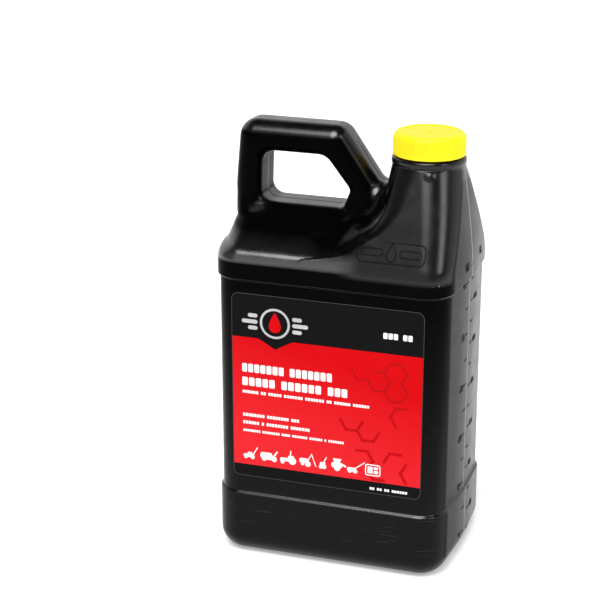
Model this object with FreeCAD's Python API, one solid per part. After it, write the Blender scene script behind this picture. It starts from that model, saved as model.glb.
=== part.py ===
"""Engine oil jug: a blow-moulded rectangular bottle with a side handle, and its screw cap.

Millimetres, +Z up. The origin is the centre of the base, on the surface that the jug
stands on. +X points to the side below the neck, and the front label faces -Y.
"""

import FreeCAD
import Part
import math
import os

OUT = "parts"
UP = FreeCAD.Vector(0, 0, 1)
ORIGIN = FreeCAD.Vector(0, 0, 0)

# Bottle body
WIDTH = 120.0
DEPTH = 86.0
CORNER = 14.0
BASE_ROUND = 11.0
WALL = 1.0
PANEL_INSET = 1.2
STEP_HEIGHT = 1.4
LOWER_BAND_TOP = 34.6
UPPER_BAND_BOTTOM = 148.4
FOOT_POCKET = (68.0, 36.0, 8.0)
FOOT_DEPTH = 1.5

# Shoulder: a roof up to the handle, and a tower that leads up to the neck
RIDGE_Z = 163.3
RIDGE_ROUND = 8.5
ROOF_SLOPE = math.radians(27.0)
ROOF_FILLET = 9.5
ROOF_END_X = 16.0
SHOULDER_TOP = 203.5
NECK_X = 38.0
COLLAR_RADIUS = 18.1
COLLAR_TOP = 207.4
TOWER_TOP_RADIUS = 17.7
TOWER_BEND_Z = 154.5
TOWER_BEND = 14.0
TOWER_LEAN = math.radians(28.5)
TOWER_FOOT_Z = 160.0
TOWER_SWEEP_HEIGHT = 30.0
TOWER_SWEEP = 30.3

# Handle: a slab with a finger hole, flush with the bottle's left side
HANDLE_HALF = 13.0
HANDLE_TOP = 219.5
HANDLE_EDGE = 8.0
HANDLE_OUTLINE = [
    (-59.8, 150.0, 0.0),
    (-59.8, 187.0, 60.0),
    (-57.0, HANDLE_TOP, 9.0),
    (-4.0, HANDLE_TOP, 9.0),
    (23.0, 181.0, 0.0),
    (23.0, 150.0, 0.0),
]
HOLE_OUTLINE = [
    (-45.5, 179.2, 6.0),
    (-44.7, 204.8, 6.0),
    (-11.8, 204.8, 8.0),
    (1.0, 188.6, 3.5),
    (-3.0, 179.2, 4.5),
]
HOLE_ROUND = 3.6

# Neck finish and thread
BORE = 12.7
FINISH_RADIUS = 14.9
THREAD_RADIUS = 16.1
LAND_Z = 216.2
PITCH = 25.4 / 6
THREAD_TURNS = 1.0
NECK_THREAD_Z = 210.2
THREAD_ROOT_WIDTH = 2.2
THREAD_CREST_WIDTH = 1.2
THREAD_SINK = 0.35

# Lug that locates the neck on the filling line
LUG_X = 43.0
LUG_Z = 200.0
LUG_RADIUS = 2.2
LUG_OUT = 20.6

# Closure
FOIL_THICKNESS = 0.15
LINER_THICKNESS = 1.05
LINER_RADIUS = 16.1
LINER_GAP = 0.03
CAP_RADIUS = 17.75
CAP_BOTTOM = 208.0
CAP_TOP = 219.0
CAP_DISC_DROP = 0.4
CAP_LIP = (13.9, 14.3, 15.2)
CAP_BEVEL = (17.45, 217.2)
CAP_CAVITY = 16.45
CAP_THREAD_RADIUS = 15.25
CAP_THREAD_START = 110.0
RIBS = 120
RIB_DEPTH = 0.32
RIB_BOTTOM = 209.4
GATE_RADIUS = 0.9
GATE_HEIGHT = 0.2

# Labels
LABEL_WIDTH = 98.0
LABEL_HEIGHT = 97.0
LABEL_BOTTOM = 44.0
LABEL_CORNER = 3.4
LABEL_THICKNESS = 0.12

# Fill: 48 US fluid ounces
FILL_VOLUME = 48 * 29573.53
FILL_GAP = 0.05


def vec(x, y, z):
    return FreeCAD.Vector(x, y, z)


def rounded_rect(x0, x1, half, radius, z):
    """Closed wire: a rectangle from x0 to x1 and -half to half, with round corners, at z."""
    edges = []
    corners = [(x1, half, 0), (x0, half, 90), (x0, -half, 180), (x1, -half, 270)]
    ends = []
    for x, y, start in corners:
        cx = x - radius if x == x1 else x + radius
        cy = y - math.copysign(radius, y)
        a, m, b = (math.radians(start + k) for k in (0, 45, 90))
        points = [vec(cx + radius * math.cos(t), cy + radius * math.sin(t), z) for t in (a, m, b)]
        ends.append(points)
    for k, points in enumerate(ends):
        edges.append(Part.Arc(*points).toShape())
        edges.append(Part.LineSegment(points[2], ends[(k + 1) % 4][0]).toShape())
    return Part.Wire(edges)


def rounded_outline(points, y=0.0):
    """Closed face in the XZ plane from (x, z, corner radius) points."""
    edges = []
    joints = []
    n = len(points)
    for k, (x, z, radius) in enumerate(points):
        here = vec(x, y, z)
        before = vec(points[k - 1][0], y, points[k - 1][1]) - here
        after = vec(points[(k + 1) % n][0], y, points[(k + 1) % n][1]) - here
        if radius == 0:
            joints.append((here, None, here))
            continue
        before.normalize()
        after.normalize()
        half_angle = before.getAngle(after) / 2
        reach = radius / math.tan(half_angle)
        inward = before + after
        inward.normalize()
        middle = here + inward * (radius / math.sin(half_angle) - radius)
        joints.append((here + before * reach, middle, here + after * reach))
    for k, (start, middle, end) in enumerate(joints):
        if middle is not None:
            edges.append(Part.Arc(start, middle, end).toShape())
        edges.append(Part.LineSegment(end, joints[(k + 1) % n][0]).toShape())
    return Part.Face(Part.Wire(edges))


def slab(face, half):
    """A face in the XZ plane, made into a plate from -half to half along Y."""
    plate = face.extrude(vec(0, 2 * half, 0))
    plate.translate(vec(0, -half, 0))
    return plate


def prism(inset, z0, z1):
    """The body's plan, drawn in by inset, from z0 to z1."""
    wire = rounded_rect(inset - WIDTH / 2, WIDTH / 2 - inset, DEPTH / 2 - inset, CORNER - inset, z0)
    return Part.Face(wire).extrude(vec(0, 0, z1 - z0))


def foot_pocket(grow, top):
    """The hollow under the base, grown by grow, up to top."""
    width, depth, radius = FOOT_POCKET
    wire = rounded_rect(-width / 2 - grow, width / 2 + grow, depth / 2 + grow, radius + grow, -1)
    return Part.Face(wire).extrude(vec(0, 0, top + 1))


def body(inset):
    """The walls up to the shoulder, with the label panel set back between two bands."""
    half_x, half_y = WIDTH / 2 - inset, DEPTH / 2 - inset
    bottom = prism(inset, inset, LOWER_BAND_TOP)
    foot = [e for e in bottom.Edges if e.BoundBox.ZMax < inset + 1e-3]
    bottom = bottom.makeFillet(BASE_ROUND - inset, foot)
    pieces = []
    levels = [
        (LOWER_BAND_TOP, 0.0),
        (LOWER_BAND_TOP + STEP_HEIGHT, PANEL_INSET),
        (UPPER_BAND_BOTTOM - STEP_HEIGHT, PANEL_INSET),
        (UPPER_BAND_BOTTOM, 0.0),
        (TOWER_BEND_Z, 0.0),
    ]
    for (z0, in0), (z1, in1) in zip(levels, levels[1:]):
        wires = [
            rounded_rect(in_ - half_x, half_x - in_, half_y - in_, CORNER - inset - in_, z)
            for z, in_ in ((z0, in0), (z1, in1))
        ]
        pieces.append(Part.makeLoft(wires, True, True))
    return bottom.fuse(pieces).cut(foot_pocket(inset, FOOT_DEPTH + inset))


def tower_half_depth(z):
    """Half of the tower's depth at height z: upright, then a bend, then a flat lean to the neck."""
    rise = z - TOWER_BEND_Z
    bend_height = TOWER_BEND * math.sin(TOWER_LEAN)
    if rise <= 0:
        return DEPTH / 2
    if rise < bend_height:
        return DEPTH / 2 - TOWER_BEND + math.sqrt(TOWER_BEND ** 2 - rise ** 2)
    bend_depth = TOWER_BEND * (1 - math.cos(TOWER_LEAN))
    start = DEPTH / 2 - bend_depth
    share = (rise - bend_height) / (SHOULDER_TOP - TOWER_BEND_Z - bend_height)
    return start + (TOWER_TOP_RADIUS + 0.6 - start) * share


def right_edge(z):
    """The right side of the shoulder leans in a little on a long arc."""
    lean = WIDTH / 2 - (NECK_X + TOWER_TOP_RADIUS)
    t = max(0.0, (z - UPPER_BAND_BOTTOM) / (SHOULDER_TOP - UPPER_BAND_BOTTOM))
    return WIDTH / 2 - lean * t ** 1.5


def left_edge(z):
    """The concave curve on the tower's left that leads from the roof up to the neck."""
    rise = min(max((z - TOWER_FOOT_Z) / TOWER_SWEEP_HEIGHT, 0.0), 1.0)
    return NECK_X - TOWER_TOP_RADIUS - TOWER_SWEEP * (1 - rise) ** 2.4


def tower_section(z, inset):
    """The tower's plan at height z: a rectangle whose corners grow into a circle at the neck."""
    rise = min(1.0, max(0.0, (z - TOWER_FOOT_Z) / (SHOULDER_TOP - TOWER_FOOT_Z)))
    radius = CORNER + (TOWER_TOP_RADIUS - 0.1 - CORNER) * rise - inset
    half = tower_half_depth(z) - inset
    return rounded_rect(left_edge(z) + inset, right_edge(z) - inset, half, radius, z)


def tower(inset):
    """The right part of the shoulder, from the body up to the neck."""
    bend_top = TOWER_BEND_Z + TOWER_BEND * math.sin(TOWER_LEAN)
    low = [tower_section(z, inset) for z in (UPPER_BAND_BOTTOM, TOWER_BEND_Z, 157.5, 159.5, bend_top)]
    high = [tower_section(z, inset) for z in (bend_top, 164.5, 169.0, 174.0, 180.0, 189.0, 196.0)]
    high.append(tower_section(SHOULDER_TOP, inset))
    return Part.makeLoft(low, True, True).fuse(Part.makeLoft(high, True, False))


def roof_profile(inset):
    """Half of the roof's outline as (y, z), from the upright wall up to the side of the handle."""
    slope = ROOF_SLOPE
    ridge = RIDGE_ROUND - inset
    centre = (DEPTH / 2 - RIDGE_ROUND, RIDGE_Z - RIDGE_ROUND * math.cos(slope))
    side = HANDLE_HALF - inset
    fillet = ROOF_FILLET + inset
    crest = [(centre[0] + ridge * math.sin(t), centre[1] + ridge * math.cos(t))
             for t in (math.pi / 2, (math.pi / 2 + slope) / 2, slope)]
    foot_z = crest[2][1] + (crest[2][0] - side) * math.tan(slope)
    reach = fillet * math.tan((math.pi / 2 - slope) / 2)
    hub = (side + fillet, foot_z + reach)
    valley = [(hub[0] - fillet * math.sin(t), hub[1] - fillet * math.cos(t))
              for t in (slope, (slope + math.pi / 2) / 2, math.pi / 2)]
    return crest, valley


def roof(inset):
    """The slope from the ridge up to the foot of the handle."""
    crest, valley = roof_profile(inset)
    start = inset - WIDTH / 2
    low = (crest[0][0], UPPER_BAND_BOTTOM)
    edges = []
    for side in (1, -1):
        c = [vec(start, side * y, z) for y, z in crest]
        v = [vec(start, side * y, z) for y, z in valley]
        edges.append(Part.LineSegment(vec(start, side * low[0], low[1]), c[0]).toShape())
        edges.append(Part.Arc(*c).toShape())
        edges.append(Part.LineSegment(c[2], v[0]).toShape())
        edges.append(Part.Arc(*v).toShape())
    top = [vec(start, side * valley[2][0], valley[2][1]) for side in (1, -1)]
    edges.append(Part.LineSegment(*top).toShape())
    edges.append(Part.LineSegment(vec(start, low[0], low[1]), vec(start, -low[0], low[1])).toShape())
    outline = Part.Wire(Part.sortEdges(edges)[0])
    wedge = Part.Face(outline).extrude(vec(ROOF_END_X - start, 0, 0))
    return wedge.common(prism(inset, UPPER_BAND_BOTTOM, HANDLE_TOP))


def handle(inset):
    """The handle with its finger hole, every long edge rounded."""
    outline = rounded_outline(HANDLE_OUTLINE)
    gap = rounded_outline(HOLE_OUTLINE)
    if inset:
        outline = outline.makeOffset2D(-inset)
        gap = gap.makeOffset2D(inset)
    half = HANDLE_HALF - inset
    plate = slab(outline, half)
    plate = plate.makeFillet(HANDLE_EDGE - inset, flat_rims(plate, half)).cut(slab(gap, half))
    inner = gap.BoundBox
    rims = [e for e in flat_rims(plate, half) if e.BoundBox.XMin > inner.XMin - 0.01
            and e.BoundBox.XMax < inner.XMax + 0.01 and e.BoundBox.ZMax < inner.ZMax + 0.01]
    return plate.makeFillet(HOLE_ROUND - inset, rims)


def flat_rims(plate, half):
    """The edges round a plate's two flat sides, other than those buried in the body."""
    return [
        e for e in plate.Edges
        if abs(abs(e.BoundBox.YMin) - half) < 1e-3 and e.BoundBox.YLength < 1e-3
        and e.BoundBox.ZMax > HOLE_OUTLINE[0][1] - 5
    ]


def hole(grow):
    """The finger hole, grown by grow, through the full depth."""
    gap = rounded_outline(HOLE_OUTLINE)
    if grow:
        gap = gap.makeOffset2D(grow)
    return slab(gap, DEPTH)


def bottle_solid(inset):
    """The bottle's outside drawn in by inset, up to the collar."""
    whole = body(inset).fuse([tower(inset), roof(inset), handle(inset)])
    return whole.cut(hole(inset)).removeSplitter()


def thread(root, crest, z, start_deg, turns):
    """A helical ridge from root radius to crest radius, right-handed about the neck's axis."""
    sink = THREAD_SINK if crest > root else -THREAD_SINK
    helix = Part.makeLongHelix(PITCH, PITCH * turns, root, 0, False)
    half_root, half_crest = THREAD_ROOT_WIDTH / 2, THREAD_CREST_WIDTH / 2
    corners = [
        vec(root - sink, 0, -half_root),
        vec(root - sink, 0, half_root),
        vec(crest, 0, half_crest),
        vec(crest, 0, -half_crest),
    ]
    profile = Part.makePolygon(corners + corners[:1])
    ridge = Part.Wire(helix.Edges).makePipeShell([profile], True, True)
    ridge = ridge if ridge.isValid() and ridge.Volume > 0 else ridge.reversed()
    ridge.rotate(ORIGIN, UP, start_deg)
    ridge.translate(vec(NECK_X, 0, z + PITCH * start_deg / 360))
    return ridge


def cylinder(radius, z0, z1):
    return Part.makeCylinder(radius, z1 - z0, vec(NECK_X, 0, z0), UP)


def bottle():
    collar = cylinder(COLLAR_RADIUS, SHOULDER_TOP - 3, COLLAR_TOP)
    rim = [e for e in collar.Edges if abs(e.BoundBox.ZMin - COLLAR_TOP) < 1e-3]
    collar = collar.makeFillet(1.0, rim)
    finish = cylinder(FINISH_RADIUS, COLLAR_TOP - 2, LAND_Z)
    lug = Part.makeCylinder(LUG_RADIUS, LUG_OUT - BORE - 2, vec(LUG_X, -LUG_OUT, LUG_Z), vec(0, 1, 0))
    outside = bottle_solid(0.0).fuse([collar, finish, lug])
    mouth = cylinder(BORE, SHOULDER_TOP - WALL - 4, LAND_Z + 1)
    shell = outside.cut(bottle_solid(WALL).fuse(mouth))
    return shell.fuse(thread(FINISH_RADIUS, THREAD_RADIUS, NECK_THREAD_Z, 0, THREAD_TURNS))


def ribbed_band():
    """The cap's outside: a star outline of fine ribs, with plain bands above and below."""
    edges = []
    step = 2 * math.pi / RIBS
    points = []
    for k in range(RIBS):
        for share, radius in ((0.0, CAP_RADIUS - RIB_DEPTH), (0.3, CAP_RADIUS - RIB_DEPTH),
                              (0.5, CAP_RADIUS), (0.8, CAP_RADIUS)):
            a = (k + share) * step
            points.append(vec(NECK_X + radius * math.cos(a), radius * math.sin(a), CAP_BOTTOM))
    for a, b in zip(points, points[1:] + points[:1]):
        edges.append(Part.LineSegment(a, b).toShape())
    star = Part.Face(Part.Wire(edges)).extrude(vec(0, 0, CAP_TOP - CAP_BOTTOM))
    return star.fuse(cylinder(CAP_RADIUS, CAP_BOTTOM, RIB_BOTTOM))


def cap():
    lip_in, lip_a, lip_b = CAP_LIP
    bevel_radius, bevel_z = CAP_BEVEL
    disc_z = CAP_TOP - CAP_DISC_DROP
    limit = [
        (0, CAP_BOTTOM), (CAP_RADIUS - 0.3, CAP_BOTTOM), (CAP_RADIUS + 0.05, CAP_BOTTOM + 0.35),
        (CAP_RADIUS + 0.05, bevel_z - 0.6), (bevel_radius, bevel_z), (lip_b + 1.1, CAP_TOP - 0.35),
        (lip_b, CAP_TOP), (lip_a, CAP_TOP), (lip_in, disc_z), (0, disc_z),
    ]
    wire = Part.makePolygon([vec(NECK_X + r, 0, z) for r, z in limit + limit[:1]])
    envelope = Part.Face(wire).revolve(vec(NECK_X, 0, 0), UP, 360)
    outside = ribbed_band().common(envelope)
    gate = cylinder(GATE_RADIUS, disc_z - 0.2, disc_z + GATE_HEIGHT)
    cavity = cylinder(CAP_CAVITY, CAP_BOTTOM - 1, ceiling_z())
    below = NECK_THREAD_Z - PITCH / 2
    ridge = thread(CAP_CAVITY, CAP_THREAD_RADIUS, below, CAP_THREAD_START, THREAD_TURNS)
    return outside.fuse(gate).cut(cavity).fuse(ridge)


def ceiling_z():
    return LAND_Z + FOIL_THICKNESS + LINER_THICKNESS + 2 * LINER_GAP


def liner():
    bottom = LAND_Z + FOIL_THICKNESS + LINER_GAP
    return cylinder(LINER_RADIUS, bottom, bottom + LINER_THICKNESS)


def foil():
    return cylinder(FINISH_RADIUS, LAND_Z, LAND_Z + FOIL_THICKNESS)


def label(side):
    """A film label on the front (-1) or back (1) panel."""
    wire = rounded_rect(-LABEL_WIDTH / 2, LABEL_WIDTH / 2, LABEL_HEIGHT / 2, LABEL_CORNER, 0)
    film = Part.Face(wire).extrude(vec(0, 0, LABEL_THICKNESS))
    film.rotate(ORIGIN, vec(1, 0, 0), 90)
    panel = DEPTH / 2 - PANEL_INSET
    y = -panel if side < 0 else panel + LABEL_THICKNESS
    film.translate(vec(0, y, LABEL_BOTTOM + LABEL_HEIGHT / 2))
    return film


def oil():
    """The fill: the inside of the bottle up to the level that holds the rated volume."""
    inside = bottle_solid(WALL + FILL_GAP)
    low, high = UPPER_BAND_BOTTOM - 10, SHOULDER_TOP - 10
    for _ in range(14):
        level = (low + high) / 2
        cover = Part.makeBox(2 * WIDTH, 2 * DEPTH, HANDLE_TOP, vec(-WIDTH, -DEPTH, level))
        fill = inside.cut(cover)
        if fill.Volume < FILL_VOLUME:
            low = level
        else:
            high = level
    print("oil level", round(level, 1), "volume", round(fill.Volume))
    return max(fill.Solids, key=lambda s: s.Volume)


def main():
    os.makedirs(OUT, exist_ok=True)
    nodes = {
        "bottle": bottle(),
        "screw_cap": cap(),
        "cap_liner": liner(),
        "foil_seal": foil(),
        "front_label": label(-1),
        "back_label": label(1),
        "oil_fill": oil(),
    }
    for name, shape in nodes.items():
        print(name, "valid", shape.isValid(), "solids", len(shape.Solids), "volume", round(shape.Volume))
        shape.exportStep(os.path.join(OUT, name + ".step"))


main()
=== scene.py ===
"""Looks for the engine oil jug: a moulded skin, printed labels, level marks and materials.

Shapes are worked out in millimetres in the row frame and stored in metres. The front label
faces -Y, the handle is on the -X side and +Z is up.
"""

import math

import bpy
import numpy as np
import openvdb
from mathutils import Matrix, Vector


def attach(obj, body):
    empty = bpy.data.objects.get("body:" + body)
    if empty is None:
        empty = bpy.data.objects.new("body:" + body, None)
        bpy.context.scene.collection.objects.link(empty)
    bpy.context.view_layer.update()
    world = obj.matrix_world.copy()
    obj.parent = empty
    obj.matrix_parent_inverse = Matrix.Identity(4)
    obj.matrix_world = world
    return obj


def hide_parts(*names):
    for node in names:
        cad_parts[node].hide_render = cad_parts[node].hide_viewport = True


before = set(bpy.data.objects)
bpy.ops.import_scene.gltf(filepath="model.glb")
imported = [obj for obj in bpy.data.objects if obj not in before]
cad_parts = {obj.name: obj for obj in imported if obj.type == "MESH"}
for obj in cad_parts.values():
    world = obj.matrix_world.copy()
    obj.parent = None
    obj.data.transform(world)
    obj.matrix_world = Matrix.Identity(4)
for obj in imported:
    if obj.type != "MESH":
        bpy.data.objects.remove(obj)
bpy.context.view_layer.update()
MM = 0.001


# ---------------------------------------------------------------- sizes, in millimetres

HALF_W = 60.0
HALF_D = 43.0
POCKET_HALF_W = 34.0
POCKET_HALF_D = 18.0
POCKET_CORNER = 8.0
POCKET_DEPTH = 1.5
CORNER = 14.0
BASE_ROUND = 11.0
INSET = 1.2
LOWER_STEP = (33.9, 35.3)
UPPER_STEP = (147.0, 148.4)

CREST_ROUND = 8.5
CREST_Z = 163.3
SLOPE = math.radians(27.0)
FILLET = 9.5
FILLET_LEFT = 16.0

NECK_X = 38.0
TOWER_R = 17.7
TOWER_TOP = 203.5
TOWER_BEND_Z = 154.5
TOWER_BEND = 14.0
TOWER_LEAN = math.radians(28.5)
TOWER_FOOT_Z = 160.0
TOWER_CORNER = 8.0
TOWER_SIDE_POWER = 1.5
SWEEP = 30.3
SWEEP_HEIGHT = 30.0
SWEEP_POWER = 2.4
TOE = 11.0
TOE_TOP_Z = 165.0
TOE_HEIGHT = 4.0
VALLEY_Z = [156, 160, 162, 164, 166, 170, 175, 180, 186, 194, 203]
VALLEY_FILLET = [0.1, 0.5, 0.9, 2, 4, 9, 13, 14, 12, 8, 4]
RIGHT_WALL_BOW = 1.5
LUG = (43.0, -17.0, 200.6)
LUG_R = 1.6
LUG_FILLET = 2.2
COLLAR_R = 18.3
COLLAR_TOP = 207.4
COLLAR_ROUND = 1.6
CREASE_Z = 203.7
CREASE_R = 0.55
FINISH_R = 14.9
LAND_Z = 216.2
PITCH = 25.4 / 6
THREAD_Z = 210.2
THREAD_HEIGHT = 1.2
THREAD_FADE = 0.06

HANDLE_HALF = 13.0
HANDLE_ROUND = 10.0
HOLE_ROUND = 5.5
HANDLE = [
    (-60.0, 100.0, 0.0),
    (-60.0, 186.0, 0.0),
    (-57.0, 219.5, 9.0),
    (-4.0, 219.5, 9.0),
    (23.0, 181.0, 0.0),
    (23.0, 100.0, 0.0),
]
HOLE = [
    (-45.5, 179.2, 6.0),
    (-44.7, 204.8, 6.0),
    (-11.8, 204.8, 8.0),
    (1.0, 188.6, 3.5),
    (-3.0, 179.2, 4.5),
]

LABEL_FILM = 0.12
LABEL_FACE = HALF_D - INSET + LABEL_FILM


# ---------------------------------------------------------------- distance fields

def ease(low, high, value):
    """A smooth step from 0 at low to 1 at high."""
    t = np.clip((value - low) / (high - low), 0.0, 1.0)
    return t * t * (3 - 2 * t)


def both(a, b, r):
    """Intersection of two fields with a rounded edge of radius r."""
    corner = np.hypot(np.maximum(a + r, 0), np.maximum(b + r, 0))
    return np.minimum(np.maximum(a, b), -r) + corner


def either(a, b, r):
    """Union of two fields with a concave fillet of radius r."""
    return -both(-a, -b, r)


def rectangle(x, y, x0, x1, half, r_left, r_right):
    """Plan from x0 to x1 and -half to half, with its own corner radius on each side."""
    middle, half_x = (x0 + x1) / 2, (x1 - x0) / 2
    r = np.where(x < middle, r_left, r_right)
    qx = np.abs(x - middle) - half_x + r
    qy = np.abs(y) - half + r
    return np.minimum(np.maximum(qx, qy), 0) + np.hypot(np.maximum(qx, 0), np.maximum(qy, 0)) - r


def rounded_loop(corners, steps=7):
    """Points along a closed outline of (x, z, radius) corners."""
    loop = []
    count = len(corners)
    for k, (x, z, radius) in enumerate(corners):
        here = np.array([x, z])
        if radius == 0:
            loop.append(here)
            continue
        a = np.array(corners[k - 1][:2]) - here
        b = np.array(corners[(k + 1) % count][:2]) - here
        a, b = a / np.linalg.norm(a), b / np.linalg.norm(b)
        half = math.acos(float(np.clip(a @ b, -1, 1))) / 2
        bisector = (a + b) / np.linalg.norm(a + b)
        centre = here + bisector * radius / math.sin(half)
        start = here + a * radius / math.tan(half) - centre
        end = here + b * radius / math.tan(half) - centre
        turn = math.atan2(start[0] * end[1] - start[1] * end[0], start @ end)
        for s in range(steps + 1):
            t = turn * s / steps
            c, n = math.cos(t), math.sin(t)
            loop.append(centre + [c * start[0] - n * start[1], n * start[0] + c * start[1]])
    return np.array(loop)


def loop_distance(x, z, loop):
    """Signed distance to a closed outline in the XZ plane, negative inside."""
    x, z = np.broadcast_arrays(x, z)
    nearest = np.full(x.shape, np.inf)
    inside = np.zeros(x.shape, bool)
    for (ax, az), (bx, bz) in zip(loop, np.roll(loop, -1, axis=0)):
        ex, ez = bx - ax, bz - az
        wx, wz = x - ax, z - az
        t = np.clip((wx * ex + wz * ez) / (ex * ex + ez * ez), 0, 1)
        nearest = np.minimum(nearest, (wx - ex * t) ** 2 + (wz - ez * t) ** 2)
        if ez:
            spans = (az <= z) != (bz <= z)
            inside ^= spans & (wx < ex * wz / ez)
    return np.where(inside, -1, 1) * np.sqrt(nearest)


HANDLE_LOOP = rounded_loop(HANDLE)
HOLE_LOOP = rounded_loop(HOLE)


def roof_half_depth(z, fillet):
    """Half depth of the shoulder at height z: wall, crest, slope, fillet and handle side."""
    centre_y, centre_z = HALF_D - CREST_ROUND, CREST_Z - CREST_ROUND * math.cos(SLOPE)
    end_y = centre_y + CREST_ROUND * math.sin(SLOPE)
    foot_z = CREST_Z + (end_y - HANDLE_HALF) * math.tan(SLOPE)
    hub_y = HANDLE_HALF + fillet
    hub_z = foot_z + fillet * math.tan((math.pi / 2 - SLOPE) / 2)
    low_z = hub_z - fillet * math.cos(SLOPE)
    crest = centre_y + np.sqrt(np.maximum(CREST_ROUND ** 2 - (z - centre_z) ** 2, 0))
    slope = end_y - (z - CREST_Z) / math.tan(SLOPE)
    valley = hub_y - np.sqrt(np.maximum(fillet ** 2 - (hub_z - z) ** 2, 0))
    return np.select(
        [z < centre_z, z < CREST_Z, z < low_z, z < hub_z],
        [HALF_D, crest, slope, valley],
        HANDLE_HALF,
    )


def roof_and_handle(x, y, z):
    """The shoulder's roof and the handle slab on it, with the finger hole through."""
    def half(height):
        plain = roof_half_depth(height, FILLET)
        left = roof_half_depth(height, FILLET_LEFT)
        return plain + (left - plain) * ease(-44.0, -56.0, x)

    depth = half(z)
    reach = 0.25
    fall = (half(z + reach) - half(z - reach)) / (2 * reach)
    side = (np.abs(y) - depth) / np.sqrt(1 + fall * fall)
    outline = loop_distance(x, z, HANDLE_LOOP)
    edge = CORNER + (HANDLE_ROUND - CORNER) * ease(160.0, 192.0, z)
    solid = both(side, outline, edge)
    solid = both(solid, -loop_distance(x, z, HOLE_LOOP), HOLE_ROUND)
    return np.maximum(solid, UPPER_STEP[1] - z)


def tower_left(z):
    """The sweep on the handle's side, with a toe that runs out along the shoulder."""
    rise = np.clip((z - TOWER_FOOT_Z) / SWEEP_HEIGHT, 0, 1)
    toe = np.clip((TOE_TOP_Z - z) / TOE_HEIGHT, 0, 1)
    return NECK_X - TOWER_R - SWEEP * (1 - rise) ** SWEEP_POWER - TOE * toe ** 2


def tower_right(z):
    """The curve from the right wall up to the neck."""
    rise = np.clip((z - UPPER_STEP[1]) / (TOWER_TOP - UPPER_STEP[1]), 0, 1)
    return HALF_W - (HALF_W - NECK_X - TOWER_R) * rise ** TOWER_SIDE_POWER


def tower_half_depth(z):
    """The front and back of the tower: wall, bend, then a straight lean to the neck."""
    rise = z - TOWER_BEND_Z
    bend_height = TOWER_BEND * math.sin(TOWER_LEAN)
    start = HALF_D - TOWER_BEND * (1 - math.cos(TOWER_LEAN))
    bend = HALF_D - TOWER_BEND + np.sqrt(np.maximum(TOWER_BEND ** 2 - rise ** 2, 0))
    share = (rise - bend_height) / (TOWER_TOP - TOWER_BEND_Z - bend_height)
    lean = start + (TOWER_R + 0.4 - start) * share
    return np.select([rise <= 0, rise < bend_height], [HALF_D, bend], lean)


def bow(y):
    """How far the right wall stands out: most at its middle, nothing at its corners."""
    return RIGHT_WALL_BOW * np.cos(np.clip(y / HALF_D, -1, 1) * math.pi / 2) ** 2


def tower(x, y, z):
    """The part of the shoulder that leads up to the neck."""
    rise = np.clip((z - TOWER_FOOT_Z) / (TOWER_TOP - TOWER_FOOT_Z), 0, 1)
    left_corner = TOWER_CORNER + (TOWER_R - TOWER_CORNER) * rise ** 1.3
    right_corner = CORNER + (TOWER_R - CORNER) * rise
    right = tower_right(z) + bow(y) * (1 - rise)
    plan = rectangle(x, y, tower_left(z), right, tower_half_depth(z),
                     left_corner, right_corner)
    return np.maximum(np.maximum(plan, UPPER_STEP[1] - z), z - TOWER_TOP)


def neck(x, y, z):
    """The collar and the mouth above it, with one turn of thread that fades at both ends."""
    radius = np.hypot(x - NECK_X, y)
    collar = both(radius - COLLAR_R, z - COLLAR_TOP, COLLAR_ROUND)
    collar = np.maximum(collar, TOWER_TOP - 0.4 - z)
    turn = np.mod(np.arctan2(y, x - NECK_X), 2 * math.pi) / (2 * math.pi)
    fade = ease(0.0, THREAD_FADE, turn) * ease(1.0, 1 - THREAD_FADE, turn)
    ridge = 1 - ease(0.6, 1.2, np.abs(z - THREAD_Z - PITCH * turn))
    finish = both(radius - FINISH_R - THREAD_HEIGHT * fade * ridge, z - LAND_Z, 0.4)
    return either(collar, np.maximum(finish, TOWER_TOP - z), 0.5)


def lower_body(x, y, z):
    """The body below the shoulder: two bands, the inset panels between, and the foot pocket."""
    inset = INSET * (ease(*LOWER_STEP, z) - ease(*UPPER_STEP, z))
    wall = rectangle(x, y, inset - HALF_W, HALF_W - inset + bow(y), HALF_D - inset,
                     CORNER - inset, CORNER - inset)
    body = np.maximum(both(wall, -z, BASE_ROUND), z - TOWER_BEND_Z)
    pocket = rectangle(x, y, -POCKET_HALF_W, POCKET_HALF_W, POCKET_HALF_D,
                       POCKET_CORNER, POCKET_CORNER)
    return both(body, -np.maximum(pocket, z - POCKET_DEPTH), 0.8)


def jug(x, y, z):
    """The whole skin: negative inside, near true distance close to the surface."""
    fillet = np.interp(z, VALLEY_Z, VALLEY_FILLET)
    top = either(roof_and_handle(x, y, z), tower(x, y, z), fillet)
    lug = np.sqrt((x - LUG[0]) ** 2 + (y - LUG[1]) ** 2 + (z - LUG[2]) ** 2) - LUG_R
    top = either(top, lug, LUG_FILLET)
    top = either(top, neck(x, y, z), 0.35)
    crease = np.hypot(np.hypot(x - NECK_X, y) - COLLAR_R - 0.1, z - CREASE_Z) - CREASE_R
    top = both(top, -crease, 0.3)
    return np.minimum(top, lower_body(x, y, z))


def gradient(points, reach=0.05):
    """The slope of the field at each point, from differences over twice the reach."""
    x, y, z = points.T
    return np.stack([
        jug(x + reach, y, z) - jug(x - reach, y, z),
        jug(x, y + reach, z) - jug(x, y - reach, z),
        jug(x, y, z + reach) - jug(x, y, z - reach),
    ], axis=1) / (2 * reach)


def settle(points, rounds=3, limit=0.4):
    """Moves points onto the skin along its normals."""
    for _ in range(rounds):
        g = gradient(points)
        size = np.maximum((g * g).sum(1), 0.05)
        step = (jug(*points.T) / size)[:, None] * g
        length = np.linalg.norm(step, axis=1, keepdims=True)
        points = points - step * np.minimum(1, limit / np.maximum(length, 1e-9))
    return points


# ---------------------------------------------------------------- meshes

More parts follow.
